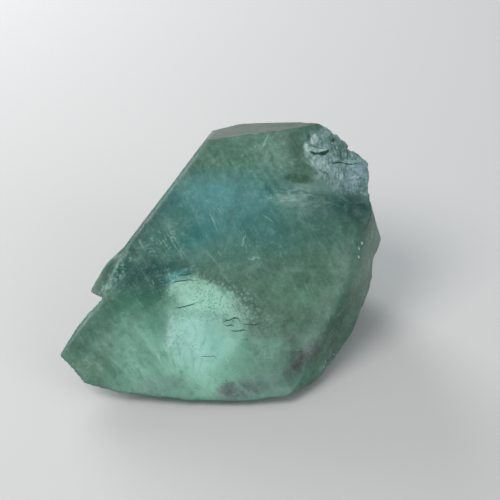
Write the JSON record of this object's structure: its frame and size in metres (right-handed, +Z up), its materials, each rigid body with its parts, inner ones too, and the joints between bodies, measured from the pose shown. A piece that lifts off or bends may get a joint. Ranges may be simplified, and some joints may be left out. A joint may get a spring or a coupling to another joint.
{
  "type": "rough fluorite",
  "caption": "Rough piece of translucent green fluorite with a broad tilted cleavage face, stepped cleavage flanks and a chipped upper corner, resting on a small flat spot.",
  "frame": {"origin": "middle of the stone's plan box, at the ground that it rests on", "axes": "+Z up, +Y away from the broad front cleavage face, +X to the right along the stone's widest way"},
  "size_m": [0.033, 0.0268, 0.0206],
  "materials": {
    "fluorite": "natural cleaved fluorite, satin and slightly frosted, translucent blue-green going to pale mint low on the front face, with fine cracks and scratches"
  },
  "bodies": {
    "root": {"rough_fluorite": "fluorite"}
  },
  "joints": []
}
